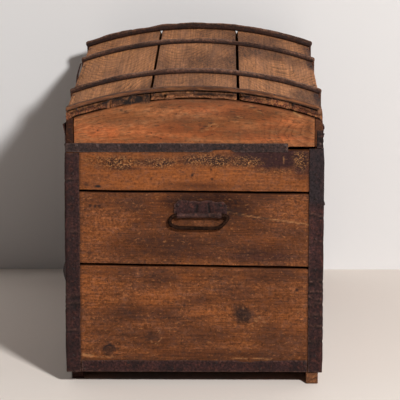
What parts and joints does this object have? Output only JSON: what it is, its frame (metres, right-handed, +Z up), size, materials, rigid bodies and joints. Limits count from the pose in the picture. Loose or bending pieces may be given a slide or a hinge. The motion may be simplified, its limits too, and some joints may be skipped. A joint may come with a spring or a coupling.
{
  "type": "dome top trunk",
  "caption": "Old nailed pine trunk with a shallow domed lid, iron straps and bands, a hasp and drop handles.",
  "frame": {"origin": "on the floor under the middle of the case", "axes": "+X to the right end with the wooden hoop, -Y to the front with the hasp, +Z up"},
  "size_m": [1.0292, 0.5508, 0.612],
  "materials": {
    "aged_pine": "worn, oiled and smoked",
    "lid_pine": "dry and weathered",
    "wrought_iron": "brown rust",
    "forged_nails": "brown rust"
  },
  "bodies": {
    "case": {"front_plank_lower": "aged_pine", "front_plank_middle": "aged_pine", "front_plank_upper": "aged_pine", "back_plank_lower": "aged_pine", "back_plank_middle": "aged_pine", "back_plank_upper": "aged_pine", "right_end_plank_lower": "aged_pine", "right_end_plank_middle": "aged_pine", "right_end_plank_upper": "aged_pine", "left_end_plank_lower": "aged_pine", "left_end_plank_middle": "aged_pine", "left_end_plank_upper": "aged_pine", "bottom_board_front": "aged_pine", "bottom_board_middle": "aged_pine", "bottom_board_back": "aged_pine", "runner_front": "aged_pine", "runner_back": "aged_pine", "corner_iron_front_right": "wrought_iron", "corner_iron_front_left": "wrought_iron", "corner_iron_back_right": "wrought_iron", "corner_iron_back_left": "wrought_iron", "bottom_strap_front": "wrought_iron", "bottom_strap_back": "wrought_iron", "bottom_strap_right": "wrought_iron", "bottom_strap_left": "wrought_iron", "handle_plate_right": "wrought_iron", "handle_plate_left": "wrought_iron", "hinge_strap_right": "wrought_iron", "hinge_strap_left": "wrought_iron", "hinge_pin_right": "wrought_iron", "hinge_pin_left": "wrought_iron", "lock_plate": "wrought_iron", "padlock_eye": "wrought_iron", "case_iron_nails": "forged_nails", "runner_nails": "forged_nails"},
    "lid": {"lid_rail_front": "lid_pine", "lid_rail_back": "lid_pine", "lid_end_panel_right": "lid_pine", "lid_end_panel_left": "lid_pine", "lid_board_front": "lid_pine", "lid_board_middle": "lid_pine", "lid_board_back": "lid_pine", "lid_end_hoop": "lid_pine", "lid_band_right": "wrought_iron", "lid_band_left": "wrought_iron", "lid_end_band": "wrought_iron", "lid_strap_front": "wrought_iron", "lid_strap_right": "wrought_iron", "lid_strap_left": "wrought_iron", "lid_corner_iron_back": "wrought_iron", "lid_corner_iron_front": "wrought_iron", "hasp_plate": "wrought_iron", "hasp_pin": "wrought_iron", "lid_iron_nails": "forged_nails", "lid_board_nails": "forged_nails"},
    "hasp": {"hasp": "wrought_iron"},
    "right_bail": {"handle_bail_right": "wrought_iron"},
    "left_bail": {"handle_bail_left": "wrought_iron"}
  },
  "joints": [
    {"name": "lid_hinge", "type": "hinge", "parent": "case", "child": "lid", "pos_m": [0, 0.2643, 0.4872], "axis": [-1, 0, 0], "range_deg": [0, 110]},
    {"name": "hasp_swing", "type": "hinge", "parent": "lid", "child": "hasp", "pos_m": [0, -0.2645, 0.5043], "axis": [1, 0, 0], "range_deg": [0, 184.7]},
    {"name": "right_bail_swing", "type": "hinge", "parent": "case", "child": "right_bail", "pos_m": [0.508, 0.01, 0.3515], "axis": [0, -1, 0], "range_deg": [0, 150]},
    {"name": "left_bail_swing", "type": "hinge", "parent": "case", "child": "left_bail", "pos_m": [-0.508, 0.01, 0.3515], "axis": [0, 1, 0], "range_deg": [0, 150]}
  ]
}
